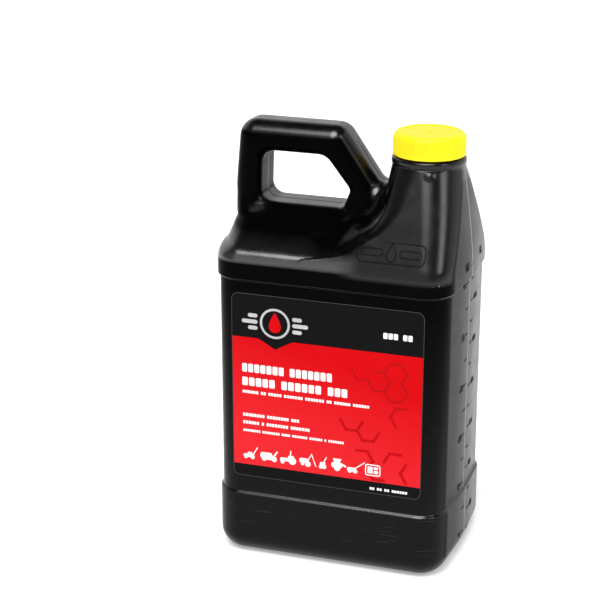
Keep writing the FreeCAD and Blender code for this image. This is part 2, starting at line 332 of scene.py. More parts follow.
def new_piece(name, points, faces, finish, smooth=True):
    """A mesh object from points in millimetres."""
    mesh = bpy.data.meshes.new(name)
    mesh.from_pydata((np.asarray(points) * MM).tolist(), [], [list(map(int, f)) for f in faces])
    mesh.validate()
    mesh.materials.append(finish)
    mesh.polygons.foreach_set("use_smooth", [smooth] * len(mesh.polygons))
    mesh.update()
    piece = bpy.data.objects.new(name, mesh)
    bpy.context.scene.collection.objects.link(piece)
    return piece


def spaced(*runs):
    """Grid coordinates from (start, end, step) runs laid end to end."""
    parts = [np.linspace(a, b, max(2, round((b - a) / step) + 1))[:-1] for a, b, step in runs]
    return np.append(np.concatenate(parts), runs[-1][1])


def skin_mesh():
    """The field's zero surface as points and quads, finer where the height changes the shape."""
    xs = spaced((-61.5, 63.0, 0.8))
    ys = spaced((-44.5, 44.5, 0.8))
    zs = spaced((-1.5, 12, 0.9), (12, 33.2, 2.4), (33.2, 36.2, 0.25), (36.2, 146, 3.5),
                (146, 149.4, 0.3), (149.4, 222, 0.75))
    far = 5.0
    field = np.empty((len(xs), len(ys), len(zs)), np.float32)
    for k, z in enumerate(zs):
        field[:, :, k] = jug(xs[:, None], ys[None, :], np.float64(z))
    grid = openvdb.FloatGrid(background=far)
    grid.copyFromArray(np.clip(field, -far, far))
    cells, quads = grid.convertToQuads(isovalue=0.0)
    points = np.stack([np.interp(cells[:, k], np.arange(len(axis)), axis)
                       for k, axis in enumerate((xs, ys, zs))], axis=1)
    return settle(points), quads


def set_normals(piece):
    """Shades the skin by the field's own slope, so that it looks as smooth as it is."""
    mesh = piece.data
    points = np.empty(len(mesh.vertices) * 3)
    mesh.vertices.foreach_get("co", points)
    points = points.reshape(-1, 3) / MM
    g = gradient(points, reach=0.12)
    g /= np.maximum(np.linalg.norm(g, axis=1, keepdims=True), 1e-9)
    mesh.normals_split_custom_set_from_vertices(g.tolist())


# ---------------------------------------------------------------- materials

def add(tree, kind, inputs, **settings):
    """A new node; an input is either a value or the socket it is fed from."""
    made = tree.nodes.new(kind)
    for name, value in settings.items():
        setattr(made, name, value)
    for name, value in inputs.items():
        if isinstance(value, bpy.types.NodeSocket):
            tree.links.new(value, made.inputs[name])
        else:
            made.inputs[name].default_value = value
    return made


def calc(tree, operation, a, b):
    """A sum on two numbers, each a value or a socket."""
    return add(tree, "ShaderNodeMath", {0: a, 1: b}, operation=operation).outputs[0]


def mixed(tree, share, a, b):
    """A number that is share of the way from a to b."""
    made = add(tree, "ShaderNodeMix", {"Factor": share, "A": a, "B": b}, data_type="FLOAT")
    return made.outputs[0]


def mixed_color(tree, share, a, b):
    """A colour that is share of the way from a to b."""
    made = add(tree, "ShaderNodeMix", {"Factor": share, 6: a, 7: b}, data_type="RGBA")
    return made.outputs[2]


def axes(tree, output):
    """The x, y and z of one output of the texture coordinates."""
    place = add(tree, "ShaderNodeTexCoord", {})
    split = add(tree, "ShaderNodeSeparateXYZ", {"Vector": place.outputs[output]})
    return [split.outputs[k] for k in range(3)]


def profile(tree, source, stops):
    """A value that follows (place, value) stops along a source number."""
    low, high = stops[0][0], stops[-1][0]
    place = add(tree, "ShaderNodeMapRange", {"Value": source, "From Min": low, "From Max": high})
    curve = add(tree, "ShaderNodeValToRGB", {"Fac": place.outputs["Result"]})
    elements = curve.color_ramp.elements
    while len(elements) < len(stops):
        elements.new(0.5)
    for element, (at, value) in zip(elements, stops):
        element.position = (at - low) / (high - low)
        element.color = (value, value, value, 1.0)
    return curve.outputs["Color"]


def noise(tree, scale, detail=3.0):
    """Noise from 0 to 1 fixed to the object, scale features to a metre."""
    place = add(tree, "ShaderNodeTexCoord", {})
    made = add(tree, "ShaderNodeTexNoise",
               {"Vector": place.outputs["Object"], "Scale": scale, "Detail": detail})
    return made.outputs["Fac"]


def material(name, color, roughness, specular, metallic=0.0):
    """An even finish, before its grain and wear are added."""
    made = bpy.data.materials.new(name)
    made.use_nodes = True
    shader = made.node_tree.nodes["Principled BSDF"]
    shader.inputs["Base Color"].default_value = (*color, 1.0)
    shader.inputs["Roughness"].default_value = roughness
    shader.inputs["Specular IOR Level"].default_value = specular
    shader.inputs["Metallic"].default_value = metallic
    return made


def weather(made, grain, depth, tone, wear, patch=40.0):
    """Fine grain as a bump, and slow drifts of colour (tone) and of roughness (wear)."""
    tree = made.node_tree
    shader = tree.nodes["Principled BSDF"]
    color = np.array(shader.inputs["Base Color"].default_value[:3])
    dark = (*(color * (1 - tone)), 1.0)
    light = (*np.minimum(color * (1 + tone), 1), 1.0)
    tree.links.new(mixed_color(tree, noise(tree, patch), dark, light), shader.inputs["Base Color"])
    rough = shader.inputs["Roughness"].default_value
    spread = profile(tree, noise(tree, patch * 3), [(0.3, rough - wear), (0.7, rough + wear)])
    tree.links.new(spread, shader.inputs["Roughness"])
    bump = add(tree, "ShaderNodeBump", {"Height": noise(tree, grain), "Distance": depth})
    tree.links.new(bump.outputs["Normal"], shader.inputs["Normal"])
    return bump


# How shiny the moulded skin is, as (place, level) stops. A place is metres along an axis, or
# how far the surface faces along it, from -1 to 1.
WALL_BY_Z = [(0.0, 0.12), (0.034, 0.115), (0.10, 0.05), (0.14, 0.02), (0.22, 0.01)]
EDGE_BY_TILT = [(0.05, 0.0), (0.25, 1.0)]
EDGE_BY_Z = [(0.0, 0.5), (0.150, 0.5), (0.153, 1.5), (0.1640, 1.5), (0.169, 0.03),
             (0.178, 0.03), (0.180, 0.0)]
EDGE_DROP_BY_X = [(-0.014, 0.0), (-0.004, 0.0035)]
LIP_BY_TILT = [(-0.7, 0.3), (-0.2, 0.0)]
LIP_BY_Z = [(0.10, 0.0), (0.12, 1.0), (0.150, 1.0), (0.151, 0.0)]
HANDLE_BY_TILT = [(0.40, 0.0), (0.60, 0.6)]
HANDLE_BY_Z = [(0.178, 0.0), (0.180, 1.0)]
TOWER_LEVEL = 0.38
TOWER_FOOT_BY_Z = [(0.162, 0.0), (0.170, 0.007), (0.185, 0.013)]
TOWER_BY_X = [(0.004, 0.0), (0.016, 1.0)]
TOWER_BY_Z = [(0.1535, 0.0), (0.156, 1.0)]
SIDE_BY_FACING = [(0.90, 0.0), (0.97, 1.0)]
SIDE_BY_Z = [(0.196, 1.0), (0.203, 0.0)]
SIDE_BY_Y = [(-0.043, 0.018), (-0.02, 0.03), (-0.008, 0.045), (0.008, 0.065), (0.018, 0.095),
             (0.028, 0.17), (0.036, 0.4)]
# Flash line on the right wall, by distance from the parting plane: its shine and its painted
# highlight
FLASH_HIGHLIGHT_BY_Y = [(0.0, 1.0), (0.0006, 1.0), (0.0009, 0.0)]
SEAM_BY_Y = [(0.0, 1.0), (0.0003, 0.9), (0.0006, 0.0)]
SEAM_LIT_BY_Z = [(0.208, 0.0), (0.212, 1.0)]
SEAM_LIT_BY_X = [(0.040, 0.0), (0.045, 1.0)]

# Painted highlight: colour of the flash line on the right wall, lighter than the black skin
FLASH_HIGHLIGHT_COLOR = (0.012, 0.012, 0.012, 1.0)
SEAM_HEIGHT = 0.00025
SCUFF_COLOR = (0.022, 0.022, 0.022, 1.0)
SCUFF_STRETCH = (45, 45, 1500)
SCUFF_LINES = [(0.62, 0.0), (0.72, 1.0)]
SCUFF_PATCHES = [(0.48, 0.0), (0.62, 1.0)]
SCUFF_BY_Z = [(0.010, 0.0), (0.016, 1.0), (0.034, 1.0), (0.036, 0.15), (0.22, 0.15)]

# Painted sheen on the label's red: how it leans with x and where it runs out in height
SHEEN_LEAN = 0.3
SHEEN_BY_Z = [(0.05, 0.0), (0.11, 1.0)]


def front_sheen(tree, x, z, tilt):
    """Dull walls, shiny edges and crest, and an even gleam on the tower."""
    edge_z = calc(tree, "ADD", z, profile(tree, x, EDGE_DROP_BY_X))
    low_edges = calc(tree, "MULTIPLY", profile(tree, tilt, EDGE_BY_TILT),
                     profile(tree, edge_z, EDGE_BY_Z))
    lip = calc(tree, "MULTIPLY", profile(tree, tilt, LIP_BY_TILT), profile(tree, z, LIP_BY_Z))
    handle = calc(tree, "MULTIPLY", profile(tree, tilt, HANDLE_BY_TILT),
                  profile(tree, z, HANDLE_BY_Z))
    edges = calc(tree, "MAXIMUM", calc(tree, "MAXIMUM", low_edges, lip), handle)
    past_foot = calc(tree, "SUBTRACT", x, profile(tree, z, TOWER_FOOT_BY_Z))
    on_tower = calc(tree, "MULTIPLY", profile(tree, past_foot, TOWER_BY_X),
                    profile(tree, z, TOWER_BY_Z))
    return calc(tree, "MAXIMUM", profile(tree, z, WALL_BY_Z),
                mixed(tree, on_tower, edges, TOWER_LEVEL))


def scuffs(tree, z):
    """Fine level scratches in patches, most of them on the lower band."""
    place = add(tree, "ShaderNodeTexCoord", {})
    stretch = add(tree, "ShaderNodeMapping",
                  {"Vector": place.outputs["Object"], "Scale": SCUFF_STRETCH})
    scratch = add(tree, "ShaderNodeTexNoise",
                  {"Vector": stretch.outputs["Vector"], "Scale": 1.0, "Detail": 2.0})
    lines = profile(tree, scratch.outputs["Fac"], SCUFF_LINES)
    patches = profile(tree, noise(tree, 35.0), SCUFF_PATCHES)
    return calc(tree, "MULTIPLY", calc(tree, "MULTIPLY", lines, patches),
                profile(tree, z, SCUFF_BY_Z))


def moulded_sheen(made, bump):
    """The blow-moulded skin: zone-by-zone shine, scuffs, and the parting line's painted highlight.
    """
    tree = made.node_tree
    shader = tree.nodes["Principled BSDF"]
    x, y, z = axes(tree, "Object")
    facing, _, tilt = axes(tree, "Normal")
    off_middle = calc(tree, "ABSOLUTE", y, 0.0)
    side = calc(tree, "MULTIPLY", profile(tree, facing, SIDE_BY_FACING),
                profile(tree, z, SIDE_BY_Z))
    flash_highlight = calc(tree, "MULTIPLY", side, profile(tree, off_middle, FLASH_HIGHLIGHT_BY_Y))
    seam = profile(tree, off_middle, SEAM_BY_Y)
    seam_lit = calc(tree, "MAXIMUM", profile(tree, z, SEAM_LIT_BY_Z),
                    profile(tree, x, SEAM_LIT_BY_X))

    sheen = mixed(tree, side, front_sheen(tree, x, z, tilt), profile(tree, y, SIDE_BY_Y))
    sheen = calc(tree, "MAXIMUM", sheen, flash_highlight)
    sheen = calc(tree, "MULTIPLY", sheen, calc(tree, "SUBTRACT", 1.0, seam))
    sheen = calc(tree, "MAXIMUM", sheen, calc(tree, "MULTIPLY", seam, seam_lit))
    tree.links.new(sheen, shader.inputs["Specular IOR Level"])

    plain = shader.inputs["Base Color"].links[0].from_socket
    color = mixed_color(tree, scuffs(tree, z), plain, SCUFF_COLOR)
    # Painted highlight: the real flash line on the right wall is coloured lighter than the skin
    color = mixed_color(tree, flash_highlight, color, FLASH_HIGHLIGHT_COLOR)
    tree.links.new(color, shader.inputs["Base Color"])

    ridge = add(tree, "ShaderNodeBump", {"Height": seam, "Distance": SEAM_HEIGHT,
                                         "Normal": bump.outputs["Normal"]})
    tree.links.new(ridge.outputs["Normal"], shader.inputs["Normal"])


def paint_label_sheen(made, sheen_color):
    """Painted sheen: blends the colour towards a lighter one at the foot and the left of the label.
    """
    tree = made.node_tree
    shader = tree.nodes["Principled BSDF"]
    x, _, z = axes(tree, "Object")
    leaning = calc(tree, "ADD", z, calc(tree, "MULTIPLY", x, SHEEN_LEAN))
    share = profile(tree, leaning, SHEEN_BY_Z)
    plain = shader.inputs["Base Color"].links[0].from_socket
    color = mixed_color(tree, share, sheen_color, plain)
    tree.links.new(color, shader.inputs["Base Color"])


# Grain is in features to a metre, and its depth in metres.
HDPE = material("black_hdpe", (0.0010, 0.0010, 0.0010), roughness=0.22, specular=0.3)
moulded_sheen(HDPE, weather(HDPE, grain=1500.0, depth=0.00003, tone=0.25, wear=0.04))
MARKS = material("moulded_marks", (0.0012, 0.0012, 0.0012), roughness=0.4, specular=0.12)
weather(MARKS, grain=1100.0, depth=0.00003, tone=0.2, wear=0.05)
YELLOW = material("yellow_pp", (0.95, 0.74, 0.010), roughness=0.42, specular=0.2)
weather(YELLOW, grain=1500.0, depth=0.00002, tone=0.04, wear=0.05)
FOAM = material("white_foam", (0.85, 0.85, 0.82), roughness=0.8, specular=0.3)
weather(FOAM, grain=2500.0, depth=0.0001, tone=0.05, wear=0.05)
FOIL = material("seal_foil", (0.8, 0.8, 0.82), roughness=0.3, specular=0.5,
                metallic=1.0)
weather(FOIL, grain=700.0, depth=0.00005, tone=0.05, wear=0.08)
FILM_BLACK = material("label_black", (0.0028, 0.0026, 0.0028), roughness=0.4, specular=0.06)
weather(FILM_BLACK, grain=600.0, depth=0.00001, tone=0.15, wear=0.05)
FILM_RED = material("label_red", (0.55, 0.0005, 0.003), roughness=0.45, specular=0.05)
weather(FILM_RED, grain=600.0, depth=0.00001, tone=0.05, wear=0.05)
# Painted sheen: the red turns lighter and pinker towards the foot and the left of the label
paint_label_sheen(FILM_RED, (0.66, 0.018, 0.024, 1.0))
FILM_DARK_RED = material("label_dark_red", (0.36, 0.001, 0.003), roughness=0.45, specular=0.05)
weather(FILM_DARK_RED, grain=600.0, depth=0.00001, tone=0.1, wear=0.05)
FILM_SHADE = material("label_shaded_red", (0.46, 0.002, 0.006), roughness=0.45, specular=0.05)
weather(FILM_SHADE, grain=600.0, depth=0.00001, tone=0.1, wear=0.05)
INK_SILVER = material("label_silver", (0.45, 0.45, 0.46), roughness=0.4, specular=0.3)
weather(INK_SILVER, grain=90.0, depth=0.00001, tone=0.35, wear=0.05)
INK_WHITE = material("label_white", (0.86, 0.86, 0.86), roughness=0.5, specular=0.2)
weather(INK_WHITE, grain=600.0, depth=0.00001, tone=0.03, wear=0.05)
EDGE_GREY = material("label_edge_grey", (0.05, 0.05, 0.05), roughness=0.4, specular=0.2)
weather(EDGE_GREY, grain=600.0, depth=0.00001, tone=0.1, wear=0.05)
OIL = material("amber_oil", (0.5, 0.25, 0.03), roughness=0.1, specular=0.5)
weather(OIL, grain=30.0, depth=0.00001, tone=0.1, wear=0.02)
FLOOR = material("pale_floor", (0.94, 0.94, 0.94), roughness=0.7, specular=0.1)
weather(FLOOR, grain=300.0, depth=0.00005, tone=0.01, wear=0.05, patch=8.0)
floor_shader = FLOOR.node_tree.nodes["Principled BSDF"]
floor_shader.inputs["Emission Color"].default_value = (1.0, 1.0, 1.0, 1.0)
floor_shader.inputs["Emission Strength"].default_value = 0.3


# ---------------------------------------------------------------- flat printed shapes

class Print:
    """Flat shapes on a label, gathered into one thin closed mesh. u runs right, v runs up."""

    def __init__(self):
        self.points = []
        self.faces = []
        self.count = 0

    def shape(self, outline):
        """A slab from a closed outline. Tops differ a little, so that overlaps never coincide."""
        base, n = len(self.points), len(outline)
        self.count += 1
        top = 1.0 + 0.1 * (self.count % 7)
        self.points += [(u, v, 0.0) for u, v in outline] + [(u, v, top) for u, v in outline]
        self.faces.append([base + n + k for k in range(n)])
        self.faces.append([base + k for k in reversed(range(n))])
        for k in range(n):
            j = (k + 1) % n
            self.faces.append([base + k, base + j, base + n + j, base + n + k])

    def bar(self, u0, v0, u1, v1, radius=0.0, steps=5):
        """A box, with round corners where it has a radius."""
        radius = min(radius, (u1 - u0) / 2, (v1 - v0) / 2)
        self.shape(round_box(u0, v0, u1, v1, radius, steps))

    def disc(self, u, v, radius, steps=20):
        """A round spot."""
        self.shape([(u + radius * math.cos(2 * math.pi * k / steps),
                     v + radius * math.sin(2 * math.pi * k / steps)) for k in range(steps)])

    def stroke(self, points, width, closed=False):
        """A line of even width, one four-cornered shape to a segment."""
        pairs = list(zip(points, points[1:])) + ([(points[-1], points[0])] if closed else [])
        for (u0, v0), (u1, v1) in pairs:
            length = math.hypot(u1 - u0, v1 - v0)
            a, b = (u1 - u0) / length * width / 2, (v1 - v0) / length * width / 2
            self.shape([(u0 - a + b, v0 - b - a), (u1 + a + b, v1 + b - a),
                        (u1 + a - b, v1 + b + a), (u0 - a - b, v0 - b + a)])

    def make(self, name, side, layer, ink):
        """Lays the shapes on the front (-1) or back (1) label, as one of its layers."""
        low, high = LABEL_FACE + layer[0], LABEL_FACE + layer[1]
        points = [(-side * u, side * (low + (high - low) * w), v) for u, v, w in self.points]
        return new_piece(name, points, self.faces, ink, smooth=False)


def round_box(u0, v0, u1, v1, radius, steps=5):
    """The outline of a box with round corners."""
    if radius <= 0:
        return [(u0, v0), (u1, v0), (u1, v1), (u0, v1)]
    outline = []
    for cu, cv, start in ((u1 - radius, v1 - radius, 0), (u0 + radius, v1 - radius, 90),
                          (u0 + radius, v0 + radius, 180), (u1 - radius, v0 + radius, 270)):
        for k in range(steps + 1):
            t = math.radians(start + 90 * k / steps)
            outline.append((cu + radius * math.cos(t), cv + radius * math.sin(t)))
    return outline


def words(page, u, v, height, counts, pitch):
    """A line of text shown as plain blocks, one to a letter, counts letters to a word."""
    for count in counts:
        for _ in range(count):
            page.bar(u, v, u + pitch * 0.80, v + height, height * 0.12, 2)
            u += pitch
        u += pitch * 0.8


# The label: left, foot, right, top
LABEL = (-49.0, 44.0, 49.0, 141.0)
LABEL_CORNER = 3.4
RED_LOW, RED_HIGH = 50.3, 118.5
RED_MARGIN = 0.25
NOTCH_LEFT, NOTCH_RIGHT = -35.3, -17.4
NOTCH_TIP = (-26.4, 113.6)
HEXAGON = 5.6
EMBLEM_U, EMBLEM_V = -26.5, 127.0
EMBLEM_RING = 7.2
BAR_START = 9.0
BAR_HALF = 1.0
# Bars beside the ring: height above its middle, far end
BAR_ROWS = ((3.2, 14.0), (0.0, 17.2), (-3.2, 14.0))
MACHINE_FOOT = 53.4

# Lines of the front label: left end, foot, letter height, letters in each word, letter pitch
FRONT_LINES = [
    (28.8, 126.0, 3.0, (3, 2), 2.6),
    (-43.8, 100.2, 4.4, (7, 7), 3.2),
    (-43.8, 93.0, 4.4, (5, 6, 3), 3.55),
    (-43.7, 88.9, 1.5, (6, 2, 5, 7, 7, 2, 6, 6), 1.42),
    (-43.6, 76.5, 1.6, (8, 8, 3), 1.45),
    (-43.6, 72.4, 1.6, (6, 1, 8, 7), 1.45),
    (-43.6, 68.2, 1.3, (8, 8, 4, 7, 6, 1, 7), 1.16),
    (23.0, 45.9, 1.3, (2, 2, 2, 6), 1.36),
]


def red_field():
    """The red part of the label, with the notch under the emblem."""
    page = Print()
    left, right = LABEL[0] + RED_MARGIN, LABEL[2] - RED_MARGIN
    page.shape([(left, RED_LOW), (right, RED_LOW), (right, RED_HIGH), (NOTCH_RIGHT, RED_HIGH),
                NOTCH_TIP, (NOTCH_LEFT, RED_HIGH), (left, RED_HIGH)])
    return page


def hexagons(width):
    """Broken runs of a hexagon grid, printed faintly in the right part of the red field."""
    page = Print()
    runs = {(18.6, 108.4): (3, 4), (27.0, 103.6): (3, 4, 5, 0, 1), (35.6, 98.8): (2, 3, 4, 5, 0),
            (35.4, 108.6): (0, 1, 2, 5), (13.2, 81.2): (4, 5, 3), (21.8, 76.6): (3, 4, 5),
            (38.6, 86.0): (1, 2, 3), (18.8, 61.2): (0, 5, 1), (27.2, 56.4): (3, 4),
            (35.8, 61.6): (1, 2), (44.2, 56.6): (2, 3), (44.2, 103.8): (2, 3)}
    for (u, v), sides in runs.items():
        turns = [math.radians(60 * k) for k in range(6)]
        ring = [(u + HEXAGON * math.cos(t), v + HEXAGON * math.sin(t)) for t in turns]
        for side in sides:
            a, b = ring[side], ring[(side + 1) % 6]
            if max(a[0], b[0]) < LABEL[2] - 1.0 and max(a[1], b[1]) < RED_HIGH - 1.0:
                page.stroke([a, b], width)
    return page


def drop(u, v, size, steps=22):
    """An oil drop: a round foot and a pointed top."""
    outline = []
    for k in range(steps):
        t = 2 * math.pi * k / steps
        pull = math.cos(t / 2) ** 6
        outline.append((u + size * math.sin(t) * (1 - 0.55 * pull),
                        v + size * (math.cos(t) + 1.1 * pull)))
    return outline[::-1]


def emblem():
    """A plain ring with three bars to each side."""
    page = Print()
    turns = [math.radians(12 * k) for k in range(30)]
    ring = [(EMBLEM_U + EMBLEM_RING * math.cos(t), EMBLEM_V + EMBLEM_RING * math.sin(t))
            for t in turns]
    page.stroke(ring, 1.1, closed=True)
    for row, end in BAR_ROWS:
        for side in (-1, 1):
            near, far = EMBLEM_U + side * BAR_START, EMBLEM_U + side * end
            page.bar(min(near, far), EMBLEM_V + row - BAR_HALF,
                     max(near, far), EMBLEM_V + row + BAR_HALF, BAR_HALF)
    return page


def emblem_drop():
    """The drop in the emblem's ring."""
    page = Print()
    page.shape(drop(EMBLEM_U, EMBLEM_V - 1.4, 3.3))
    return page


def copy_lines():
    """The front label's lines."""
    page = Print()
    for line in FRONT_LINES:
        words(page, *line)
    return page


# Each machine's sign stands with its lower left corner on (u, v)
def mower(page, u, v):
    page.bar(u, v + 0.9, u + 5.6, v + 2.6, 0.7)
    page.bar(u + 2.2, v + 2.2, u + 4.8, v + 3.7, 0.6)
    page.disc(u + 1.2, v + 0.9, 0.9)
    page.disc(u + 4.8, v + 1.1, 1.1)
    page.stroke([(u + 5.2, v + 2.4), (u + 7.4, v + 6.6)], 0.45)


def rider(page, u, v):
    page.bar(u, v + 1.4, u + 6.4, v + 4.6, 1.2)
    page.bar(u + 3.0, v + 0.8, u + 8.6, v + 2.8, 0.8)
    page.stroke([(u + 7.0, v + 2.6), (u + 8.8, v + 5.4)], 0.8)
    page.disc(u + 2.0, v + 1.2, 1.2)
    page.disc(u + 7.4, v + 1.3, 1.3)


def tractor(page, u, v):
    page.bar(u + 0.2, v + 1.4, u + 5.4, v + 3.2, 0.6)
    page.disc(u + 1.4, v + 1.0, 1.1)
    page.disc(u + 6.6, v + 1.9, 2.0)
    page.bar(u + 4.4, v + 2.6, u + 7.4, v + 4.6, 0.5)
    page.stroke([(u + 5.6, v + 4.4), (u + 5.8, v + 7.0)], 0.5)


def tiller(page, u, v):
    page.bar(u, v + 2.0, u + 4.8, v + 4.4, 0.7)
    page.disc(u + 4.4, v + 1.5, 1.5)
    page.disc(u + 1.6, v + 1.4, 0.9)
    page.stroke([(u + 4.4, v + 3.2), (u + 6.4, v + 7.0), (u + 8.6, v + 0.8)], 0.4)


def edger(page, u, v):
    page.disc(u + 1.0, v + 1.0, 1.0)
    page.disc(u + 2.8, v + 1.2, 1.1)
    page.bar(u + 0.6, v + 1.4, u + 3.4, v + 3.6, 0.5)
    page.stroke([(u + 2.4, v + 3.2), (u + 3.9, v + 6.4)], 0.45)


def chipper(page, u, v):
    page.bar(u + 0.4, v + 1.8, u + 6.0, v + 4.4, 0.9)
    page.shape([(u + 2.0, v + 4.2), (u + 4.6, v + 4.2), (u + 5.6, v + 6.6), (u + 1.2, v + 6.6)])
    page.disc(u + 3.4, v + 1.6, 1.6)
    page.stroke([(u + 5.6, v + 4.0), (u + 7.6, v + 3.0)], 0.9)


def blower(page, u, v):
    page.bar(u, v + 0.8, u + 4.6, v + 3.0, 0.8)
    page.disc(u + 1.4, v + 0.9, 0.9)
    page.disc(u + 4.2, v + 1.1, 1.1)
    page.stroke([(u + 4.0, v + 2.6), (u + 9.0, v + 6.4)], 0.45)


def generator(page, u, v):
    page.stroke(round_box(u, v + 0.2, u + 7.4, v + 5.8, 1.0, 3), 0.5, closed=True)
    page.bar(u + 1.0, v + 1.2, u + 3.6, v + 4.8, 0.3)
    page.bar(u + 4.2, v + 1.2, u + 6.4, v + 2.8, 0.3)
    page.bar(u + 4.2, v + 3.4, u + 6.4, v + 4.8, 0.3)


def machines():
    """A row of plain garden-machine signs."""
    page = Print()
    starts = {mower: -43.6, rider: -34.6, tractor: -24.2, tiller: -13.8, edger: -3.6,
              chipper: 2.6, blower: 11.2, generator: 20.8}
    for machine, start in starts.items():
        machine(page, start, MACHINE_FOOT)
    return page


def label_edge():
    """The thin light line round the label."""
    page = Print()
    page.stroke(round_box(*LABEL, LABEL_CORNER, 6), 0.22, closed=True)
    return page


def back_copy():
    """Plain panels and lines for the back label."""
    page = Print()
    words(page, -43.5, 124.0, 3.4, (4, 3, 6), 3.0)
    for row in range(11):
        counts = [(5, 7, 3, 8, 4, 6)[(row + k) % 6] for k in range(10 - (row * 5) % 4)]
        words(page, -43.5, 112.0 - row * 3.6, 1.3, counts, 1.25)
    page.bar(14.0, 49.0, 43.5, 66.0, 1.0)
    return page


def bars_on_white():
    """Bars of mixed width, the sort a till reads, with nothing coded in them."""
    page = Print()
    u = 16.5
    for k in range(22):
        width = 0.35 + 0.3 * ((k * 7) % 3)
        page.bar(u, 51.0, u + width, 64.0)
        u += width + 0.5
    return page


# ---------------------------------------------------------------- marks moulded in the wall

def lay_on_skin(page, name, plane, height, ink):
    """Wraps flat shapes onto the skin: plane maps (u, v) to a start point and an outward way."""
    flat = np.array([plane(u, v) for u, v, _ in page.points])
    start, out = flat[:, :3], flat[:, 3:]
    points = start.copy()
    rounds, root = 14, 0.35
    for _ in range(rounds):
        points -= jug(*points.T)[:, None] * out
    level = np.array([w for _, _, w in page.points])[:, None]
    points += out * np.where(level > 0, height * (0.9 + 0.1 * level), -root)
    return new_piece(name, points, page.faces, ink, smooth=False)


def numerals(page, text, u, v, size):
    """Adds numerals and unit letters drawn with thin straight bars, centred on (u, v)."""
    w, h, t = size * 0.55, size, size * 0.11
    bars = {
        "a": [(0, h), (w, h)], "b": [(w, h), (w, h / 2)], "c": [(w, h / 2), (w, 0)],
        "d": [(0, 0), (w, 0)], "e": [(0, h / 2), (0, 0)], "f": [(0, h), (0, h / 2)],
        "g": [(0, h / 2), (w, h / 2)], "n": [(0, h), (w / 2, h / 2)], "m": [(w / 2, h / 2), (w, h)],
        "z": [(0, 0), (w, h)],
    }
    lit = {"0": "abcdef", "1": "bc", "2": "abged", "3": "abgcd", "4": "fgbc", "5": "afgcd",
           "6": "afgedc", "7": "abc", "8": "abcdefg", "9": "abcdfg", "O": "abcdef", "Z": "azd",
           "M": "efbcnm", "L": "fed"}
    step = size * 0.85
    left = u - (len(text) * step - (step - w)) / 2
    for k, sign in enumerate(text):
        for bar in lit[sign]:
            (u0, v0), (u1, v1) = bars[bar]
            x = left + k * step
            page.stroke([(x + u0, v - h / 2 + v0), (x + u1, v - h / 2 + v1)], t)


FIRST_MARK = 11.3
LOWEST_MARK = 8.0
MARK_PITCH = 13.45
MARK_OUNCES = 4
MARK_ML = 118.3
MARK_HALF = 0.25
MARK_HEIGHT = 0.2
OUNCE_MARK = (-5.6, -1.4)
ML_MARK = (4.6, 8.2)
MOTIF_FRAME = (14.0, 163.2, 47.5, 172.2)
MOTIF_MIDDLE = 30.8
MOTIF_HEIGHT = 0.3


def gauge():
    """Level marks up the side: fluid ounces towards the front, millilitres towards the back."""
    page = Print()
    for k in range(11):
        height = FIRST_MARK + MARK_PITCH * k
        page.bar(OUNCE_MARK[0], height - MARK_HALF, OUNCE_MARK[1], height + MARK_HALF)
        if k % 2 == 0:
            numerals(page, str(MARK_OUNCES * (k + 1)), -9.4, height, 3.0)
    for k in range(1, 14):
        height = FIRST_MARK + MARK_PITCH * (k * 100 / MARK_ML - 1)
        if height < LOWEST_MARK:
            continue
        page.bar(ML_MARK[0], height - MARK_HALF, ML_MARK[1], height + MARK_HALF)
        if k % 2 == 0:
            numerals(page, str(100 * k), 13.0, height, 2.1)
    numerals(page, "OZ", -9.0, 155.4, 3.6)
    numerals(page, "ML", 19.0, 156.6, 3.2)
    return page


def moulded_drop():
    """The moulded motif on the shoulder: a drop between two plain bars in a rounded frame."""
    page = Print()
    page.stroke(round_box(*MOTIF_FRAME, 3.0), 0.55, closed=True)
    page.stroke(drop(MOTIF_MIDDLE, 166.6, 2.5), 0.5, closed=True)
    for u in (MOTIF_MIDDLE - 9.5, MOTIF_MIDDLE + 9.5):
        page.stroke(round_box(u - 5.2, 166.2, u + 5.2, 169.2, 1.2), 0.45, closed=True)
    return page


def front_plane(u, v):
    """A start point in front of the jug, and the way out of its front."""
    return (u, -HALF_D - 3.0, v, 0.0, -1.0, 0.0)


def side_plane(u, v):
    """A start point to the right of the jug, and the way out of its right wall."""
    return (HALF_W + 4.0, u, v, 1.0, 0.0, 0.0)


# ---------------------------------------------------------------- build

SKIN_SHARE = 0.62
FRONT, BACK = -1, 1

# Layers of print: foot and top, in millimetres off the label's film
FIELD = (0.0, 0.02)
SHADE = (0.01, 0.025)
LINE = (0.015, 0.03)
INK = (0.02, 0.05)
OVERPRINT = (0.04, 0.07)
RIM = (-0.05, 0.03)

skin_points, skin_faces = skin_mesh()
bottle = new_piece("bottle_skin", skin_points, skin_faces, HDPE)
reduce = bottle.modifiers.new("reduce", "DECIMATE")
reduce.ratio = SKIN_SHARE
bpy.context.view_layer.objects.active = bottle
bpy.ops.object.modifier_apply(modifier=reduce.name)
set_normals(bottle)
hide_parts("bottle")

